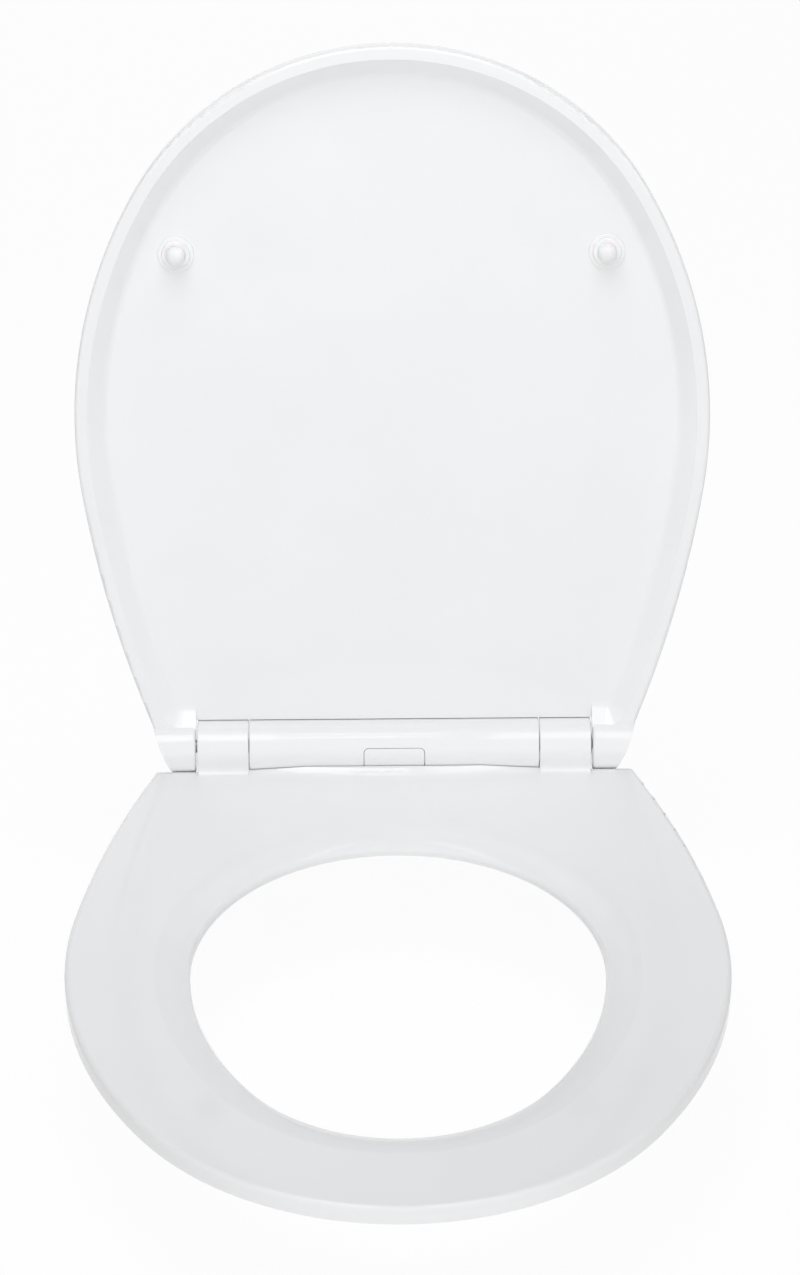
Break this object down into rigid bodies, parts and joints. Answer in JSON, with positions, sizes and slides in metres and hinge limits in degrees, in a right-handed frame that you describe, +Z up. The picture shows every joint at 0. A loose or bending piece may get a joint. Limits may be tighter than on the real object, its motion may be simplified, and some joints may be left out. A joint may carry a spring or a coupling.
{
  "type": "toilet seat",
  "caption": "White toilet seat with a lid: an open ring and a domed lid on a round hinge bar with rotary dampers and a push button that releases it from its fixing studs.",
  "frame": {"origin": "midway between the two fixing studs, on the face of the pan", "axes": "+X to the right of someone who faces the seat, -Y to the front of the seat, +Z up"},
  "size_m": [0.37, 0.5064, 0.5093],
  "materials": {
    "white_shell": "polished thermoset moulding",
    "inner_plastic": "plain moulded plastic",
    "steel": "turned or stamped stainless steel",
    "nut_plastic": "plain moulded plastic",
    "buffer": "soft pale rubber",
    "seal": "soft dark rubber"
  },
  "bodies": {
    "hinge_bar": {"hinge_cover": "white_shell", "hinge_base": "inner_plastic", "hinge_screws": "steel", "lid_damper_body": "inner_plastic", "seat_damper_body": "inner_plastic", "button_spring": "steel", "fixing_stud_left": "steel", "fixing_stud_right": "steel", "rosette_left": "inner_plastic", "rosette_right": "inner_plastic", "pan_pad_left": "seal", "pan_pad_right": "seal", "cone_washer_left": "seal", "cone_washer_right": "seal"},
    "seat": {"seat_ring": "white_shell", "seat_damper_shaft": "steel", "lug_bush": "inner_plastic", "seat_buffer_rear_left": "buffer", "seat_buffer_rear_right": "buffer", "seat_buffer_front_left": "buffer", "seat_buffer_front_right": "buffer"},
    "lid": {"lid": "white_shell", "lid_damper_shaft": "steel", "ear_bush": "inner_plastic", "lid_buffer_left": "buffer", "lid_buffer_right": "buffer"},
    "button": {"release_button": "white_shell"},
    "latch_left": {"latch_left": "steel"},
    "latch_right": {"latch_right": "steel"},
    "nut_left": {"wing_nut_left": "nut_plastic"},
    "nut_right": {"wing_nut_right": "nut_plastic"}
  },
  "joints": [
    {"name": "lid_hinge", "type": "hinge", "parent": "hinge_bar", "child": "lid", "pos_m": [0, 0, 0.03], "axis": [-1, 0, 0], "range_deg": [-100, 0]},
    {"name": "seat_hinge", "type": "hinge", "parent": "hinge_bar", "child": "seat", "pos_m": [0, 0, 0.03], "axis": [-1, 0, 0], "range_deg": [0, 100]},
    {"name": "button_press", "type": "slide", "parent": "hinge_bar", "child": "button", "axis": [0, 1, 0], "range_m": [0, 0.003], "stiffness_N_per_m": 900, "springref_m": -0.002, "deforming": ["button_spring"]},
    {"name": "latch_left_slide", "type": "slide", "parent": "hinge_bar", "child": "latch_left", "axis": [1, 0, 0], "range_m": [0, 0.003]},
    {"name": "latch_right_slide", "type": "slide", "parent": "hinge_bar", "child": "latch_right", "axis": [-1, 0, 0], "range_m": [0, 0.003]},
    {"name": "nut_left_turn", "type": "hinge", "parent": "hinge_bar", "child": "nut_left", "pos_m": [-0.0775, 0, -0.045], "axis": [0, 0, 1], "continuous": true},
    {"name": "nut_right_turn", "type": "hinge", "parent": "hinge_bar", "child": "nut_right", "pos_m": [0.0775, 0, -0.045], "axis": [0, 0, 1], "continuous": true}
  ],
  "couplings": [
    {"joint": "latch_left_slide", "follows": "button_press", "ratio": 1},
    {"joint": "latch_right_slide", "follows": "button_press", "ratio": 1}
  ]
}
